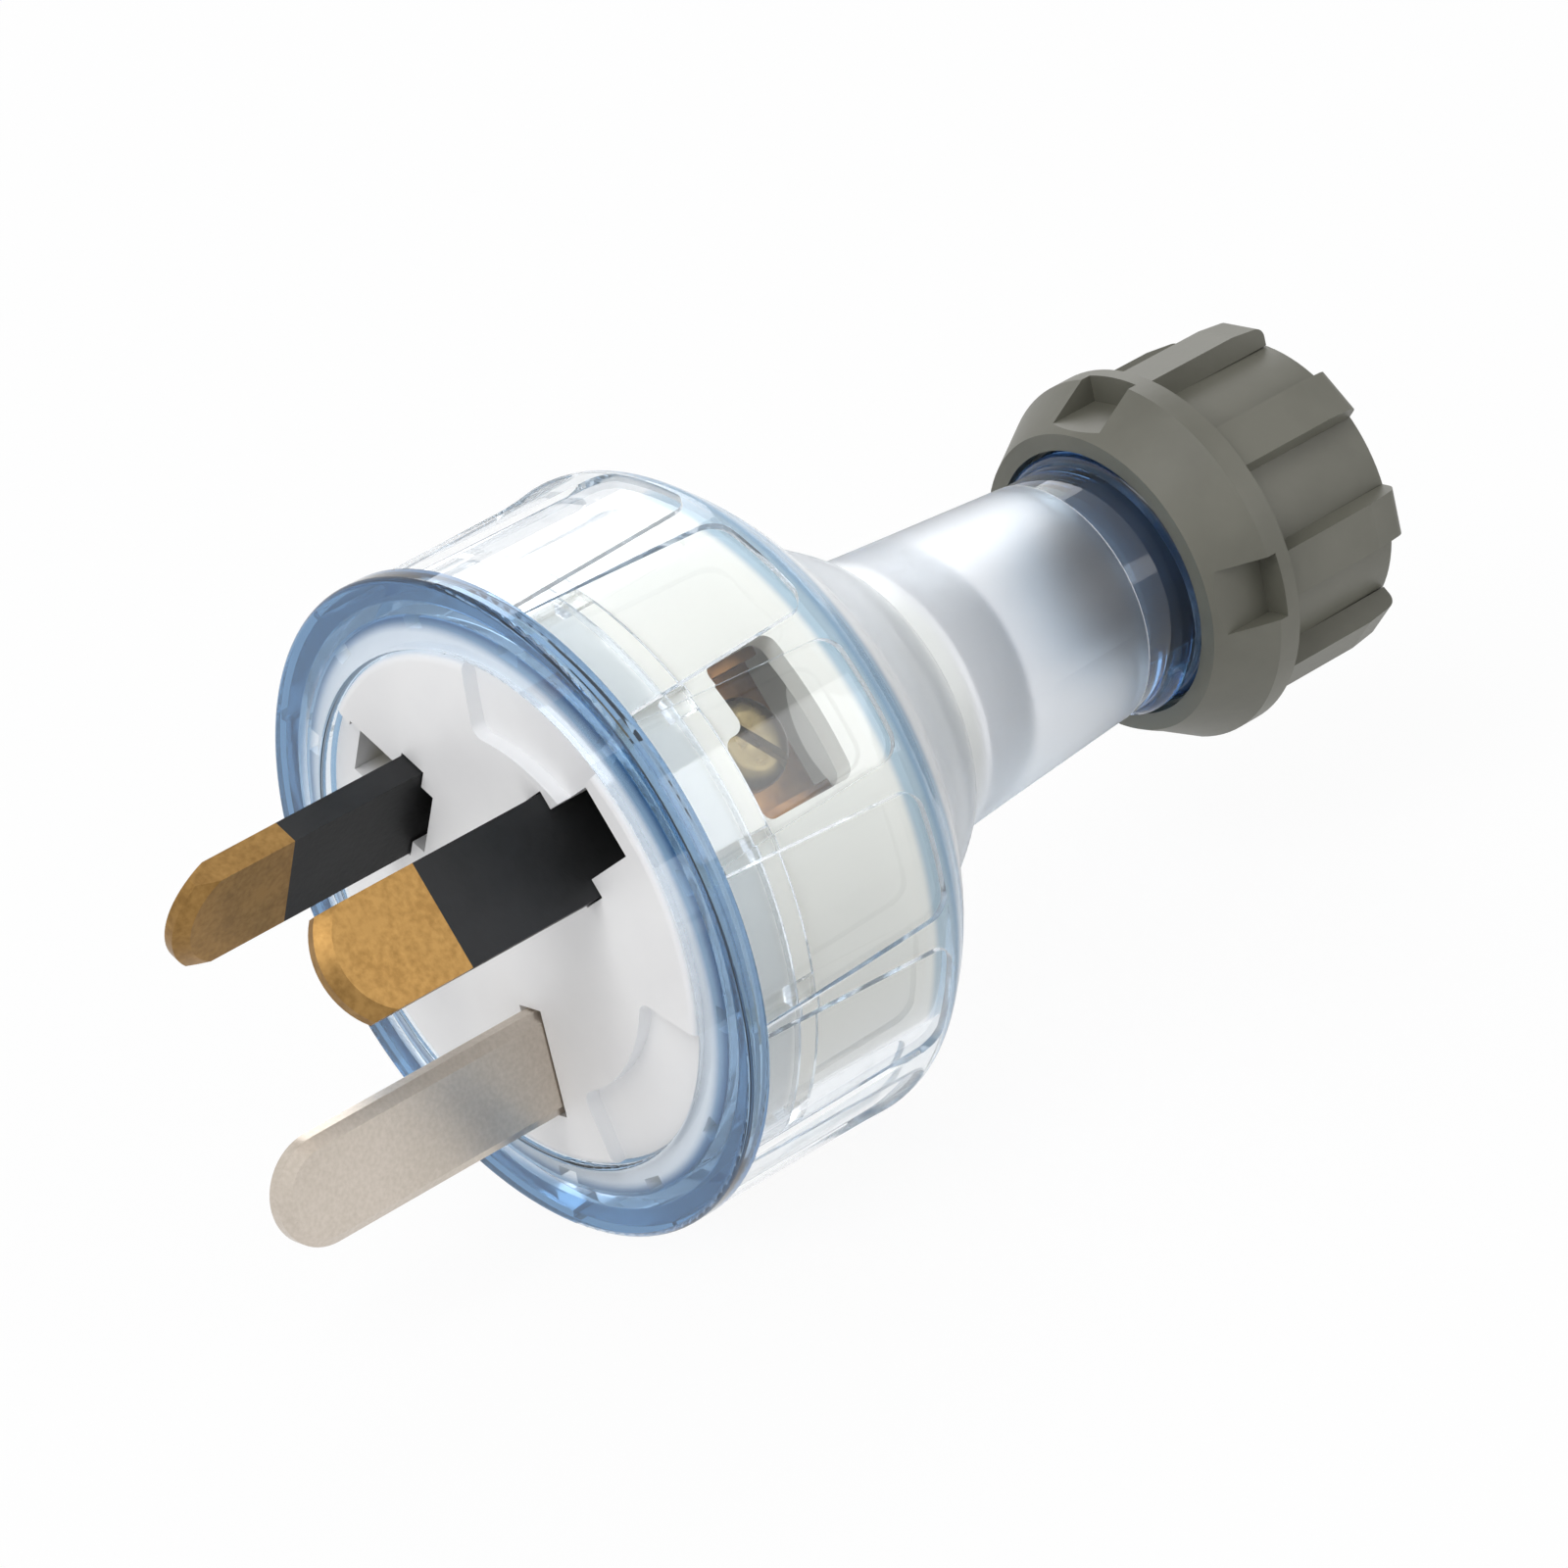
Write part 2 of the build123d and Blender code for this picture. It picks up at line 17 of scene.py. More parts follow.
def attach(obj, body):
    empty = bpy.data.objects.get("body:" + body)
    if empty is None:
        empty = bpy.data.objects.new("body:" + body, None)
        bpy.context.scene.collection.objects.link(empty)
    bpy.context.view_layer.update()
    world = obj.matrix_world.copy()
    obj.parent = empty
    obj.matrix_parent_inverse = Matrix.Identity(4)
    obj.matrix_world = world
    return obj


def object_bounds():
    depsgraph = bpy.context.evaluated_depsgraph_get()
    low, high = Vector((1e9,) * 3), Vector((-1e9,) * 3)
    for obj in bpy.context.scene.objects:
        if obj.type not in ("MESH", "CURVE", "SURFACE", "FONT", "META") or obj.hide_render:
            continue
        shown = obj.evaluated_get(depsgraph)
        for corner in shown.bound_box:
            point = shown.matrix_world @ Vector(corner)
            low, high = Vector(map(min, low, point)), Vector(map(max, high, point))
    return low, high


mm = 0.001
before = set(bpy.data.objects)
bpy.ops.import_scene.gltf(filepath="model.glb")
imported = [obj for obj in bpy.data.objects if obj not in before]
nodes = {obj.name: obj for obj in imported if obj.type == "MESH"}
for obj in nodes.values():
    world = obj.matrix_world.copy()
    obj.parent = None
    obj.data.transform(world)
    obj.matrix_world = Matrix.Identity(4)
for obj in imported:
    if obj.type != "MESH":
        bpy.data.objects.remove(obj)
cad_box = [list(corner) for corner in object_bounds()]
bpy.ops.object.select_all(action="DESELECT")
scene = bpy.context.scene
print("pieces", len(nodes), "box", cad_box)

# %% [markdown]
# The camera
#
# A small thing is photographed from far away with a long lens, which keeps
# its lines nearly parallel. The camera could be placed by eye. Here its place,
# aim and roll come from matching the corners of the pins and the rims of the
# barrel and nut, so the render can be laid beside the photograph.

# %% Camera
camera_place = Vector((0.3278, -0.21794, 0.17038))
camera_aim = Vector((0.01489, 0.00920, 0.00638))
camera_roll = -13.28
lens_length = 182.6
sensor_width = 36
nearest_seen = 0.01

bpy.ops.object.camera_add(location=camera_place)
camera = bpy.context.object
camera.name = "camera"
camera.data.lens = lens_length
camera.data.sensor_width = sensor_width
camera.data.clip_start = nearest_seen
facing = (camera_aim - camera_place).to_track_quat("-Z", "Y")
roll = Matrix.Rotation(radians(camera_roll), 3, "Z")
camera.rotation_euler = (facing.to_matrix() @ roll).to_euler()
scene.camera = camera
print("camera", (camera_aim - camera_place).length, "m from its aim")

# %% [markdown]
# A white world
#
# The photograph's ground is plain white. More light would whiten a grey world,
# but it would bleach the plug as well. So only rays from the camera, and those
# that reach it through clear plastic or off metal, see white. The rays that
# light the plug see a softer world, a little blue as the sky is.

# %% Helpers for the nodes that follow
def add_math(tree, operation, *values):
    """A Math node. Each value is a number or the output of another node."""
    node = tree.nodes.new("ShaderNodeMath")
    node.operation = operation
    for slot, value in zip(node.inputs, values):
        if isinstance(value, (int, float)):
            slot.default_value = value
        else:
            tree.links.new(value, slot)
    return node.outputs[0]


def background_rays(tree):
    """1 for a ray that shows the background, and 0 for one that lights."""
    path = tree.nodes.new("ShaderNodeLightPath")
    direct = path.outputs["Is Camera Ray"]
    through = add_math(tree, "MAXIMUM", direct, path.outputs["Is Transmission Ray"])
    return add_math(tree, "MAXIMUM", through, path.outputs["Is Glossy Ray"])


def mix_shaders(tree, share, first, second, output):
    """Send the output the first shader, or the second where the share is 1."""
    mix = tree.nodes.new("ShaderNodeMixShader")
    tree.links.new(share, mix.inputs["Fac"])
    tree.links.new(first.outputs[0], mix.inputs[1])
    tree.links.new(second.outputs[0], mix.inputs[2])
    tree.links.new(mix.outputs[0], output.inputs["Surface"])


# %% World
world_white = 1.0
world_light = 0.55

world = bpy.data.worlds.new("studio")
scene.world = world
world.use_nodes = True
tree = world.node_tree
tree.nodes.clear()
lit = tree.nodes.new("ShaderNodeBackground")
lit.inputs["Color"].default_value = (0.97, 0.98, 1, 1)
lit.inputs["Strength"].default_value = world_light
seen = tree.nodes.new("ShaderNodeBackground")
seen.inputs["Color"].default_value = (1, 1, 1, 1)
seen.inputs["Strength"].default_value = world_white
world_output = tree.nodes.new("ShaderNodeOutputWorld")
mix_shaders(tree, background_rays(tree), lit, seen, world_output)
print("world seen at", world_white, "and lit at", world_light)

# %% [markdown]
# A pale floor
#
# The plug lies over a wide pale floor that shows as hardly more than a faint
# shadow. A plain matt floor would render grey, and one that only glows would
# lose the shadow. So it mixes the two: mostly plain white, and for the rest a
# real matt surface. It starts a hair under the plug.

# %% Floor
floor_size = 8
floor_gap = 0.1 * mm
floor_white_share = 0.93

bpy.ops.mesh.primitive_plane_add(size=floor_size, location=(0, 0, cad_box[0][2] - floor_gap))
floor = bpy.context.object
floor.name = "floor"

floor_paint = bpy.data.materials.new("pale floor")
floor_paint.use_nodes = True
tree = floor_paint.node_tree
tree.nodes.clear()
matt = tree.nodes.new("ShaderNodeBsdfDiffuse")
matt.inputs["Color"].default_value = (0.93, 0.93, 0.93, 1)
white = tree.nodes.new("ShaderNodeEmission")
white.inputs["Strength"].default_value = world_white
white_share = add_math(tree, "MULTIPLY", background_rays(tree), floor_white_share)
floor_output = tree.nodes.new("ShaderNodeOutputMaterial")
mix_shaders(tree, white_share, matt, white, floor_output)
floor.data.materials.append(floor_paint)
print("floor at", cad_box[0][2] - floor_gap)

# %% [markdown]
# Lamps
#
# One lamp would leave the clear plastic flat, because such a surface shows
# little but its highlights. So there are three soft boxes: a large one above
# and in front, a weaker one at the side that draws the long highlights on the
# ribs, and one behind that lifts the edges.

# %% Lamps
def soft_box(name, place, size, watts):
    """A square lamp that faces the middle of the plug."""
    bpy.ops.object.light_add(type="AREA", location=place)
    lamp = bpy.context.object
    lamp.name = name
    lamp.data.shape = "SQUARE"
    lamp.data.size = size
    lamp.data.energy = watts
    lamp.rotation_euler = (plug_middle - Vector(place)).to_track_quat("-Z", "Y").to_euler()
    print(name, watts, "W")


plug_middle = Vector((0, 0.02, 0))
soft_box("key box", (0.15, -0.35, 0.55), size=0.4, watts=1.7)
soft_box("side box", (0.55, 0.3, 0.25), size=0.3, watts=0.5)
soft_box("rear box", (-0.4, 0.35, 0.4), size=0.35, watts=0.9)

# %% [markdown]
# Grain and patches
#
# Every moulded or metal surface of the plug has a fine grain, and soft patches
# where it is a little glossier or more worn. Each material could have its own
# two noises. One node group with named inputs does it for all of them, so a
# finish is a few numbers.

# %% Node group: grain and patches
def new_group(name, inputs, outputs):
    """A shader group with the named number sockets."""
    group = bpy.data.node_groups.new(name, "ShaderNodeTree")
    kind = "NodeSocketFloat"
    for label, value in inputs.items():
        socket = group.interface.new_socket(label, in_out="INPUT", socket_type=kind)
        socket.default_value = value
    for label in outputs:
        group.interface.new_socket(label, in_out="OUTPUT", socket_type=kind)
    return group, group.nodes.new("NodeGroupInput"), group.nodes.new("NodeGroupOutput")


grain_group, given, result = new_group(
    "grain and patches",
    {"Grain Scale": 2500.0, "Patch Scale": 180.0, "Roughness": 0.5, "Roughness Spread": 0.1},
    ("Grain", "Patches", "Roughness"),
)
grain_detail = 3.0
patch_detail = 4.0
noise_middle = 0.5

link = grain_group.links.new
where = grain_group.nodes.new("ShaderNodeTexCoord")
grain = grain_group.nodes.new("ShaderNodeTexNoise")
grain.inputs["Detail"].default_value = grain_detail
patches = grain_group.nodes.new("ShaderNodeTexNoise")
patches.inputs["Detail"].default_value = patch_detail
link(where.outputs["Object"], grain.inputs["Vector"])
link(where.outputs["Object"], patches.inputs["Vector"])
link(given.outputs["Grain Scale"], grain.inputs["Scale"])
link(given.outputs["Patch Scale"], patches.inputs["Scale"])
centred = add_math(grain_group, "SUBTRACT", patches.outputs["Fac"], noise_middle)
spread, middle = given.outputs["Roughness Spread"], given.outputs["Roughness"]
roughness = add_math(grain_group, "MULTIPLY_ADD", centred, spread, middle)
link(grain.outputs["Fac"], result.inputs["Grain"])
link(patches.outputs["Fac"], result.inputs["Patches"])
link(roughness, result.inputs["Roughness"])
print("group", grain_group.name, "has", len(grain_group.nodes), "nodes")

# %% [markdown]
# From a group to a finish
#
# A finish is a Principled shader, the group for its roughness and relief, and
# two tones that the patches blend. These helpers wire the parts. A CAD node
# brings a plain material of its own, which its finish takes the place of.

# %% Helpers that make a material
def new_material(name):
    """A material with only its Principled shader and its output."""
    material = bpy.data.materials.new(name)
    material.use_nodes = True
    return material, material.node_tree, material.node_tree.nodes["Principled BSDF"]


def add_grain(tree, grain_scale, patch_scale, roughness, spread):
    """Place the shared group in a material with its own values."""
    group = tree.nodes.new("ShaderNodeGroup")
    group.node_tree = grain_group
    group.inputs["Grain Scale"].default_value = grain_scale
    group.inputs["Patch Scale"].default_value = patch_scale
    group.inputs["Roughness"].default_value = roughness
    group.inputs["Roughness Spread"].default_value = spread
    return group


def two_tone(tree, factor, low, high, low_at=0.35, high_at=0.65):
    """A colour ramp between two tones of one finish."""
    ramp = tree.nodes.new("ShaderNodeValToRGB")
    ends = ramp.color_ramp.elements
    ends[0].position, ends[0].color = low_at, (*low, 1)
    ends[1].position, ends[1].color = high_at, (*high, 1)
    tree.links.new(factor, ramp.inputs["Fac"])
    return ramp.outputs["Color"]


def tinted(tree, mask, colour, tint):
    """A colour, given as a tuple or an output, that is the tint at mask 1."""
    mix = tree.nodes.new("ShaderNodeMix")
    mix.data_type = "RGBA"
    mix.inputs["B"].default_value = (*tint, 1)
    tree.links.new(mask, mix.inputs["Factor"])
    if isinstance(colour, tuple):
        mix.inputs["A"].default_value = (*colour, 1)
    else:
        tree.links.new(colour, mix.inputs["A"])
    return mix.outputs["Result"]


def add_ramp(tree, value, low, high, kind):
    """A mask that rises from 0 at the low end to 1 at the high one."""
    ramp = tree.nodes.new("ShaderNodeMapRange")
    ramp.interpolation_type = kind
    ramp.inputs["From Min"].default_value = low
    ramp.inputs["From Max"].default_value = high
    tree.links.new(value, ramp.inputs["Value"])
    return ramp.outputs["Result"]


def add_bump(tree, height, shader, strength, depth):
    """A shallow relief. The depth is the real one in metres."""
    bump = tree.nodes.new("ShaderNodeBump")
    bump.inputs["Strength"].default_value = strength
    bump.inputs["Distance"].default_value = depth
    tree.links.new(height, bump.inputs["Height"])
    tree.links.new(bump.outputs["Normal"], shader.inputs["Normal"])


def dress(material, *names):
    """Give CAD nodes a finish in place of their plain one."""
    for name in names:
        materials = nodes[name].data.materials
        materials.clear()
        materials.append(material)
    print(material.name, "on", *names)


# %% [markdown]
# Where the clear plastic changes, and where it is painted deeper blue
#
# The neck has a frosted skin on its outside only. The front rim, the rear
# edge of the barrel and the bare spigot look a deeper blue than one thin wall
# does, because light goes a long way through them. That deeper blue is painted
# on them as surface colour. Paint on faces would need cuts in the CAD mesh. A
# group of masks finds the same places from how far a point is along the plug,
# how far out it is, and which way its surface faces.

# %% Node group: zones of the clear plastic
zone_group, given, result = new_group(
    "zones of the clear plastic",
    {},
    ("Frost", "Rear Edge", "Front Edge", "Spigot"),
)
flange_depth = 1.35 * mm
skirt_radius = 17.3 * mm
barrel_rear = 14.6 * mm
neck_rear = 41.5 * mm
rearward_lean = 4 * mm
past_neck = neck_rear + 0.05 * mm
past_flange = flange_depth + 0.02 * mm


def zone_math(operation, first, second):
    return add_math(zone_group, operation, first, second)


def zone_ramp(value, start, low, high):
    return add_ramp(zone_group, value, start + low * mm, start + high * mm, "SMOOTHSTEP")


def zone_vector(operation, first, second=None):
    node = zone_group.nodes.new("ShaderNodeVectorMath")
    node.operation = operation
    link(first, node.inputs[0])
    if isinstance(second, tuple):
        node.inputs[1].default_value = second
    elif second is not None:
        link(second, node.inputs[1])
    return node.outputs["Value" if operation in ("DOT_PRODUCT", "LENGTH") else "Vector"]


link = zone_group.links.new
where = zone_group.nodes.new("ShaderNodeTexCoord")
parts = zone_group.nodes.new("ShaderNodeSeparateXYZ")
link(where.outputs["Object"], parts.inputs[0])
along = parts.outputs["Y"]
from_axis = zone_vector("MULTIPLY", where.outputs["Object"], (1, 0, 1))
outward = zone_vector("ADD", from_axis, (0, rearward_lean, 0))
facing_out = zone_vector("DOT_PRODUCT", outward, where.outputs["Normal"])
outside = zone_math("GREATER_THAN", facing_out, 0.0)

behind_barrel = zone_ramp(along, barrel_rear, 0.8, 2.4)
before_spigot = zone_math("LESS_THAN", along, past_neck)
skin = zone_math("MULTIPLY", behind_barrel, before_spigot)
link(zone_math("MULTIPLY", skin, outside), result.inputs["Frost"])

# The Rear Edge, Front Edge and Spigot masks place a painted deeper blue for the long path of
# light through thick plastic.
edge_start = zone_ramp(along, barrel_rear, -0.1, 0.5)
edge_end = zone_ramp(along, barrel_rear, 1.9, 2.8)
edge_band = zone_math("SUBTRACT", edge_start, edge_end)
link(zone_math("MULTIPLY", edge_band, outside), result.inputs["Rear Edge"])

rim = zone_ramp(zone_vector("LENGTH", from_axis), skirt_radius, -0.9, -0.1)
in_flange = zone_math("LESS_THAN", along, past_flange)
link(zone_math("MULTIPLY", rim, in_flange), result.inputs["Front Edge"])
link(zone_math("GREATER_THAN", along, past_neck), result.inputs["Spigot"])
print("group", zone_group.name, "has", len(zone_group.nodes), "nodes")

# %% [markdown]
# Clear plastic
#
# The shell and the ring are clear with a trace of blue. A thin wall looks
# colourless, and only where the eye looks along a wall does the blue add up.
# A blue surface colour would tint every wall alike. Absorption inside the
# plastic depends on how far light has gone, as in the real moulding. On top of
# it, the edge and spigot tints paint a deeper blue on the surface, as painted
# colour for that long path of light. Glass also blocks lamps, so rays that look
# for a lamp pass straight through, and what is inside stays lit. The shell has
# a thin sheen for its haze.

# %% Clear plastic for the shell and the ring
plastic_ior = 1.5
frost_roughness = 0.43
ripple_strength = 0.12
ripple_depth = 0.05 * mm


def clear_plastic(name, base, tint, density, zone_tints):
    """Clear plastic with a tint for each zone of the group that it has."""
    material, tree, shader = new_material(name)
    shader.inputs["Base Color"].default_value = (*base, 1)
    shader.inputs["IOR"].default_value = plastic_ior
    shader.inputs["Transmission Weight"].default_value = 1.0
    surface = add_grain(tree, grain_scale=900, patch_scale=60, roughness=0.025, spread=0.03)
    roughness = surface.outputs["Roughness"]
    if zone_tints:
        zones = tree.nodes.new("ShaderNodeGroup")
        zones.node_tree = zone_group
        colour = base
        for zone, zone_tint in zone_tints.items():
            colour = tinted(tree, zones.outputs[zone], colour, zone_tint)
        tree.links.new(colour, shader.inputs["Base Color"])
        if "Frost" in zone_tints:
            frost = zones.outputs["Frost"]
            roughness = add_math(tree, "MULTIPLY_ADD", frost, frost_roughness, roughness)
    tree.links.new(roughness, shader.inputs["Roughness"])
    add_bump(tree, surface.outputs["Patches"], shader, ripple_strength, ripple_depth)

    output = tree.nodes["Material Output"]
    absorb = tree.nodes.new("ShaderNodeVolumeAbsorption")
    absorb.inputs["Color"].default_value = (*tint, 1)
    absorb.inputs["Density"].default_value = density
    tree.links.new(absorb.outputs[0], output.inputs["Volume"])

    path = tree.nodes.new("ShaderNodeLightPath")
    lamp_side = tree.nodes.new("ShaderNodeBsdfTransparent")
    lamp_side.inputs["Color"].default_value = (0.9, 0.93, 0.96, 1)
    mix_shaders(tree, path.outputs["Is Shadow Ray"], shader, lamp_side, output)
    return material


shell_plastic = clear_plastic(
    "clear plastic, frosted neck",
    base=(1, 1, 1),
    tint=(0.32, 0.58, 0.80),
    density=20,
    zone_tints={
        "Frost": (0.99, 0.985, 1),
        # Rear Edge and Spigot: painted deeper blue for the long path of light through thick
        # plastic. Frost is the frosted skin's own colour.
        "Rear Edge": (0.24, 0.42, 0.64),
        "Spigot": (0.52, 0.76, 1),
    },
)
shell_shader = shell_plastic.node_tree.nodes["Principled BSDF"]
shell_shader.inputs["Sheen Weight"].default_value = 0.35
shell_shader.inputs["Sheen Roughness"].default_value = 0.45
ring_plastic = clear_plastic(
    "clear plastic ring",
    base=(0.97, 0.985, 1),
    tint=(0.32, 0.55, 0.76),
    density=60,
    # Front Edge: painted deeper blue for the long path of light through the thick rim.
    zone_tints={"Front Edge": (0.14, 0.28, 0.47)},
)
dress(shell_plastic, "shell")
dress(ring_plastic, "front_ring")

# %% [markdown]
# White plastic
#
# The base is bright and satin on its face. Behind it, where the clear barrel
# keeps light off, it gets painted shade, a darker and warmer tone. A second
# material would need its faces parted, so one material is painted darker with
# the place along the plug. The cover behind it is warm white all over. A very
# fine grain keeps them from looking like paper.

# %% White plastic
moulded_patch_scale = 160
moulded_bump = 0.25
base_face_depth = 1.6 * mm
shade_ramp_length = 1 * mm


def moulded_plastic(name, low, high, roughness, spread, grain_scale, grain_depth):
    """An opaque moulding between two tones."""
    material, tree, shader = new_material(name)
    surface = add_grain(tree, grain_scale, moulded_patch_scale, roughness, spread)
    colour = two_tone(tree, surface.outputs["Patches"], low, high)
    tree.links.new(colour, shader.inputs["Base Color"])
    tree.links.new(surface.outputs["Roughness"], shader.inputs["Roughness"])
    add_bump(tree, surface.outputs["Grain"], shader, moulded_bump, grain_depth)
    return material


def paint_shade_behind(material, depth, tint):
    """Paint shade on a moulding: its colour goes to the tint behind a depth along the plug.
    """
    tree = material.node_tree
    shader = tree.nodes["Principled BSDF"]
    where = tree.nodes.new("ShaderNodeTexCoord")
    parts = tree.nodes.new("ShaderNodeSeparateXYZ")
    tree.links.new(where.outputs["Object"], parts.inputs[0])
    behind = add_ramp(tree, parts.outputs["Y"], depth, depth + shade_ramp_length, "LINEAR")
    colour = shader.inputs["Base Color"].links[0].from_socket
    tree.links.new(tinted(tree, behind, colour, tint), shader.inputs["Base Color"])


base_white = moulded_plastic(
    "satin white",
    low=(0.90, 0.90, 0.905),
    high=(0.94, 0.94, 0.94),
    roughness=0.42,
    spread=0.1,
    grain_scale=2200,
    grain_depth=0.02 * mm,
)
# The darker, warmer tone behind the face is painted shade.
paint_shade_behind(base_white, base_face_depth, tint=(0.80, 0.78, 0.71))
cover_white = moulded_plastic(
    "warm white",
    low=(0.76, 0.745, 0.68),
    high=(0.82, 0.81, 0.75),
    roughness=0.5,
    spread=0.1,
    grain_scale=2200,
    grain_depth=0.02 * mm,
)
washer_white = moulded_plastic(
    "natural nylon",
    low=(0.76, 0.75, 0.71),
    high=(0.82, 0.81, 0.77),
    roughness=0.5,
    spread=0.1,
    grain_scale=1800,
    grain_depth=0.02 * mm,
)
dress(base_white, "pin_base")
dress(cover_white, "terminal_cover")
dress(washer_white, "grip_washer")

# %% [markdown]
# Metals
#
# The line pins are rolled brass that has been tumbled, so they are golden with
# a fine mottle and browner patches. The terminals are the same brass, duller.
# The earth pin is plated with nickel, which is warm grey and smooth. A plain
# metal of one colour looks new and flat. Grain and patches together choose
# between two tones, because both the rolling and the wear show.

# %% Metals
metal_bump = 0.35
mottle_share = 0.5
mottle_low, mottle_high = 0.38, 0.62


def metal(name, low, high, roughness, spread, grain_scale, patch_scale, grain_depth):
    """A metal that is mottled by its grain and its patches alike."""
    material, tree, shader = new_material(name)
    shader.inputs["Metallic"].default_value = 1.0
    surface = add_grain(tree, grain_scale, patch_scale, roughness, spread)
    grain_part = add_math(tree, "MULTIPLY", surface.outputs["Grain"], mottle_share)
    patches = surface.outputs["Patches"]
    mottle = add_math(tree, "MULTIPLY_ADD", patches, 1 - mottle_share, grain_part)
    colour = two_tone(tree, mottle, low, high, mottle_low, mottle_high)
    tree.links.new(colour, shader.inputs["Base Color"])
    tree.links.new(surface.outputs["Roughness"], shader.inputs["Roughness"])
    add_bump(tree, surface.outputs["Grain"], shader, metal_bump, grain_depth)
    return material


pin_brass = metal(
    "tumbled brass",
    low=(0.25, 0.14, 0.045),
    high=(0.37, 0.215, 0.072),
    roughness=0.38,
    spread=0.2,
    grain_scale=2600,
    patch_scale=500,
    grain_depth=0.015 * mm,
)
strip_brass = metal(
    "dull brass strip",
    low=(0.20, 0.09, 0.035),
    high=(0.38, 0.20, 0.075),
    roughness=0.4,
    spread=0.2,
    grain_scale=1400,
    patch_scale=200,
    grain_depth=0.02 * mm,
)
screw_brass = metal(
    "turned screw brass",
    low=(0.15, 0.115, 0.055),
    high=(0.28, 0.225, 0.115),
    roughness=0.30,
    spread=0.2,
    grain_scale=1600,
    patch_scale=260,
    grain_depth=0.015 * mm,
)
nickel = metal(
    "nickel plate",
    low=(0.56, 0.50, 0.43),
    high=(0.66, 0.59, 0.52),
    roughness=0.33,
    spread=0.1,
    grain_scale=4000,
    patch_scale=90,
    grain_depth=0.006 * mm,
)
dress(pin_brass, "active_pin", "neutral_pin")
dress(strip_brass, "active_terminal", "neutral_terminal", "earth_terminal")
dress(screw_brass, "active_terminal_screw", "neutral_terminal_screw", "earth_terminal_screw")
dress(nickel, "earth_pin")

# %% [markdown]
# Black sleeves, grey nut and dark bush
#
# The sleeves and the nut are matt mouldings with a grain that can be seen, and
# the nut's grey leans to olive. The bush is soft and nearly black. They are
# the white plastic's recipe with other numbers, because they differ from it
# only in tone and grain. The sleeves shine less than plastic usually does.

# %% Dark and grey plastics
sleeve_shine = 0.3
sleeve_black = moulded_plastic(
    "matt black",
    low=(0.008, 0.0085, 0.009),
    high=(0.020, 0.0205, 0.022),
    roughness=0.5,
    spread=0.2,
    grain_scale=2600,
    grain_depth=0.07 * mm,
)
sleeve_shader = sleeve_black.node_tree.nodes["Principled BSDF"]
sleeve_shader.inputs["Specular IOR Level"].default_value = sleeve_shine
nut_grey = moulded_plastic(
    "olive grey",
    low=(0.120, 0.118, 0.093),
    high=(0.152, 0.149, 0.120),
    roughness=0.46,
    spread=0.12,
    grain_scale=1700,
    grain_depth=0.04 * mm,
)
bush_black = moulded_plastic(
    "dark rubber",
    low=(0.030, 0.033, 0.045),
    high=(0.048, 0.052, 0.070),
    roughness=0.6,
    spread=0.1,
    grain_scale=1200,
    grain_depth=0.03 * mm,
)
dress(sleeve_black, "active_sleeve", "neutral_sleeve")
dress(nut_grey, "cord_grip_nut")
dress(bush_black, "cord_grip_bush")

# %% [markdown]
# Screw threads
#
# The nut climbs the spigot on a coarse thread. A bump in the material would
# look round at the edge of the spigot, so each half of the thread is a real
# ridge: a small trapezoid that the Screw modifier winds about the plug's axis,
# once per 2 mm of travel. Both ridges start at the same angle. Their starts
# are one and a half turns apart, so the nut's ridge runs in the groove between
# the turns of the spigot's, also while the nut turns.

# %% Helper: a ridge on a helix
thread_pitch = 2.0 * mm
thread_sink = 0.1 * mm
thread_foot = 0.7 * mm
thread_crest = 0.25 * mm
thread_steps = 64
thread_start_angle = 120


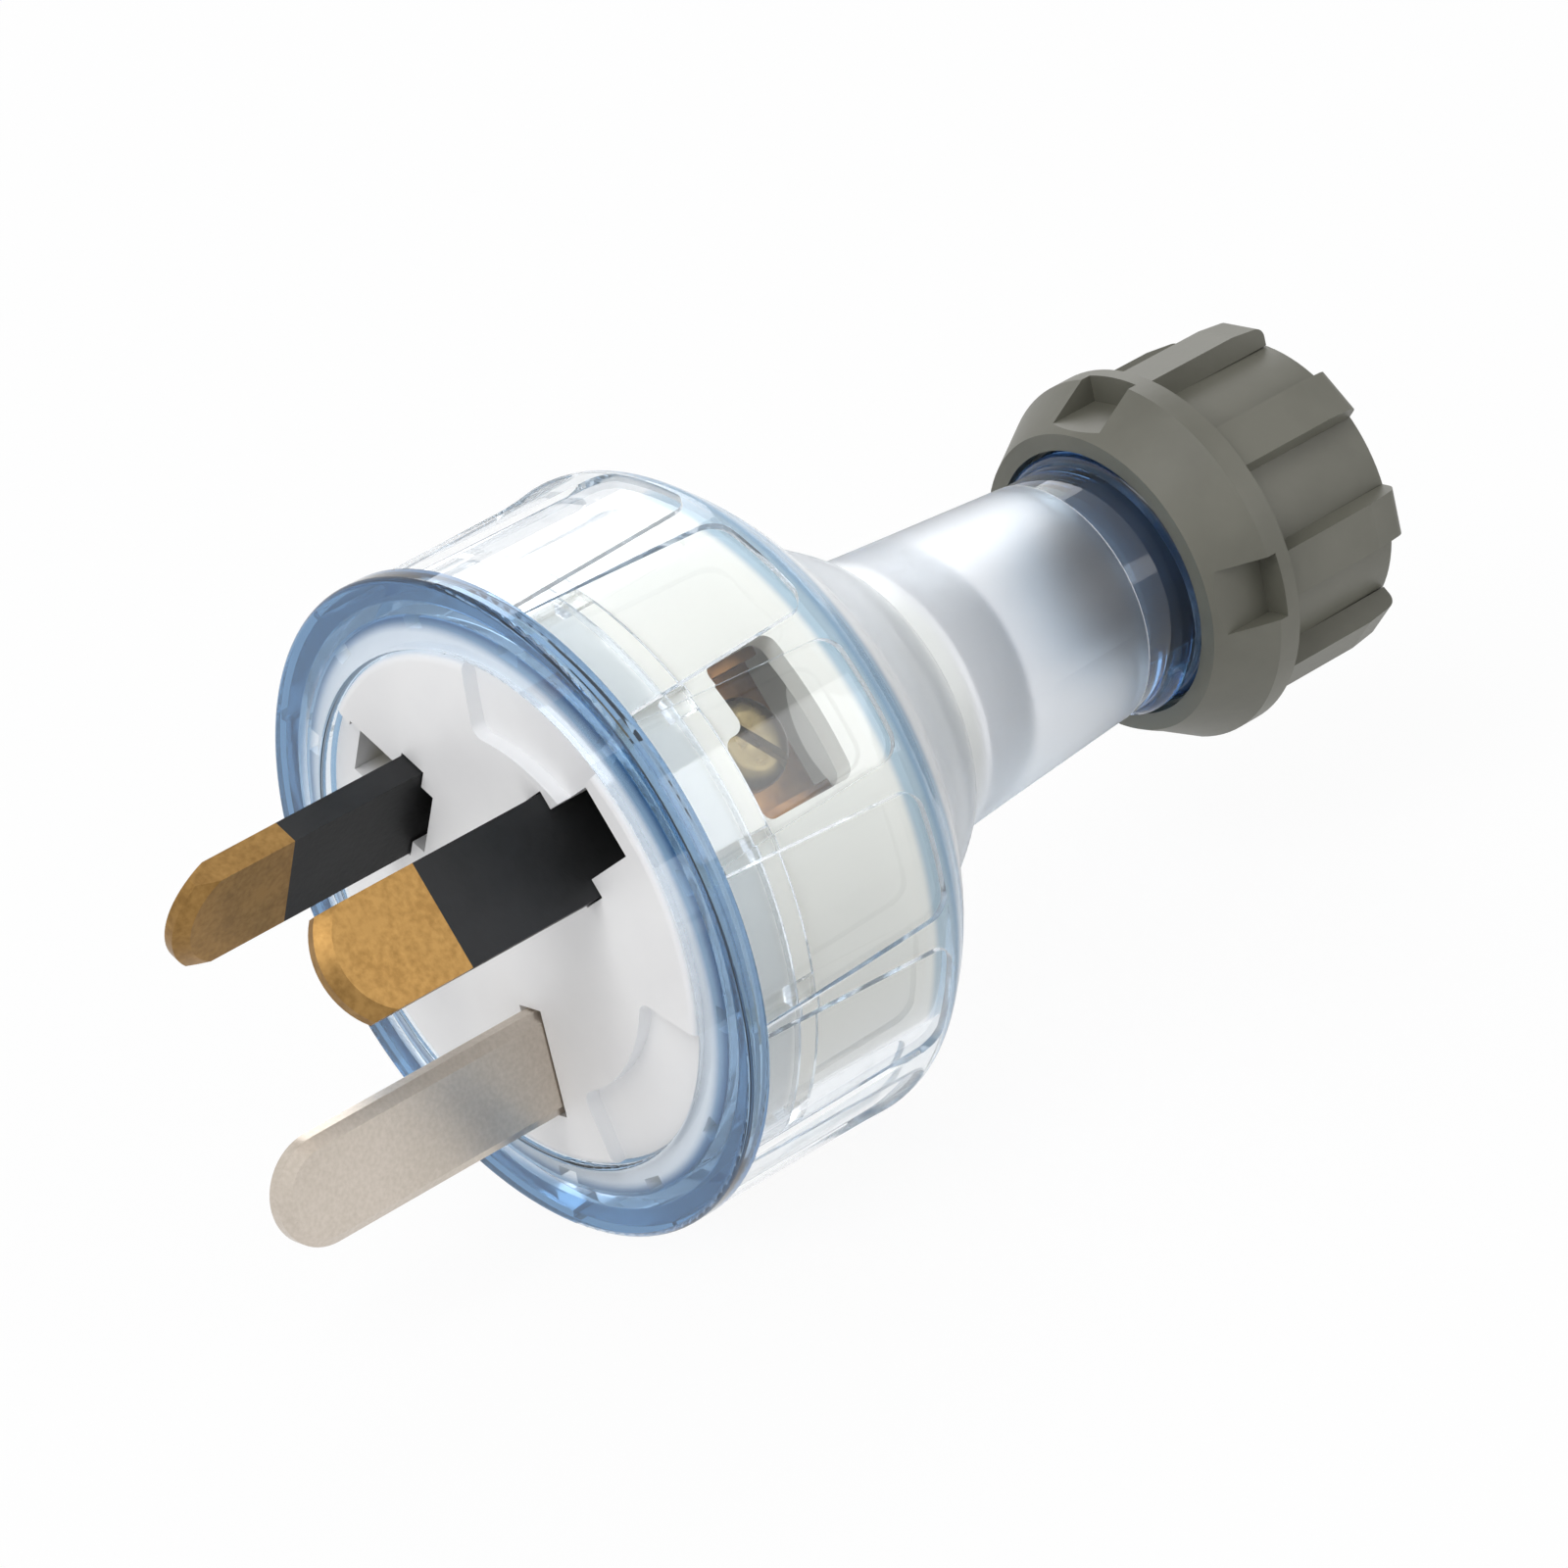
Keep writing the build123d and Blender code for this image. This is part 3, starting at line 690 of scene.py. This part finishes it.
def thread_ridge(name, root, crest, start, end):
    """A right-handed ridge. Its angle runs from +Z towards +X."""
    bpy.ops.object.select_all(action="DESELECT")
    bpy.ops.mesh.primitive_circle_add(vertices=4, radius=thread_foot, location=(0, 0, 0))
    ridge = bpy.context.object
    ridge.name = name
    profile = [
        (root, -thread_foot),
        (root, thread_foot),
        (crest, thread_crest),
        (crest, -thread_crest),
    ]
    if crest < root:
        profile.reverse()
    turn = Matrix.Rotation(radians(thread_start_angle), 3, "Y")
    for vertex, (radius, along) in zip(ridge.data.vertices, profile):
        vertex.co = turn @ Vector((0, start + along, radius))
    turns = (end - start) / thread_pitch
    wind = ridge.modifiers.new("wind", "SCREW")
    wind.axis = "Y"
    wind.angle = 2 * pi * turns
    wind.screw_offset = end - start
    wind.steps = wind.render_steps = round(thread_steps * turns)
    wind.use_normal_calculate = True
    bpy.ops.object.modifier_apply(modifier=wind.name)
    bpy.ops.object.mode_set(mode="EDIT")
    bpy.ops.mesh.select_all(action="SELECT")
    bpy.ops.mesh.fill_holes(sides=len(profile))
    bpy.ops.mesh.normals_make_consistent(inside=False)
    bpy.ops.object.mode_set(mode="OBJECT")
    print(name, turns, "turns,", len(ridge.data.polygons), "faces")
    return ridge


# %% The spigot's thread and the nut's
thread_height = 0.5 * mm
spigot_radius = 7.35 * mm
spigot_rear = 54.0 * mm
spigot_thread_start = 44.0 * mm
nut_bore_radius = 7.95 * mm
nut_floor = 56.5 * mm
nut_thread_start = 47.0 * mm

# The thread's blue base colour is painted, a deeper blue for the long path of light through
# the spigot.
thread_plastic = clear_plastic(
    "clear plastic thread",
    base=(0.5, 0.7, 0.95),
    tint=(0.32, 0.55, 0.76),
    density=280,
    zone_tints={},
)
spigot_thread = thread_ridge(
    "spigot_thread",
    root=spigot_radius - thread_sink,
    crest=spigot_radius + thread_height,
    start=spigot_thread_start,
    end=spigot_rear - thread_foot,
)
spigot_thread.data.materials.append(thread_plastic)
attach(spigot_thread, "plug")

nut_thread = thread_ridge(
    "nut_thread",
    root=nut_bore_radius + thread_sink,
    crest=nut_bore_radius - thread_height,
    start=nut_thread_start,
    end=nut_floor - thread_pitch / 2,
)
nut_thread.data.materials.append(nut_grey)
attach(nut_thread, "nut")

# %% [markdown]
# View and finish
#
# A colour should render as it is written, so the view is the plain one. A look
# through the barrel meets many walls one behind another, and with few bounces
# the last of them would turn black.

# %% View and finish
wall_bounces = 24
mirror_bounces = 12

scene.view_settings.view_transform = "Standard"
scene.cycles.max_bounces = wall_bounces
scene.cycles.transmission_bounces = wall_bounces
scene.cycles.glossy_bounces = mirror_bounces
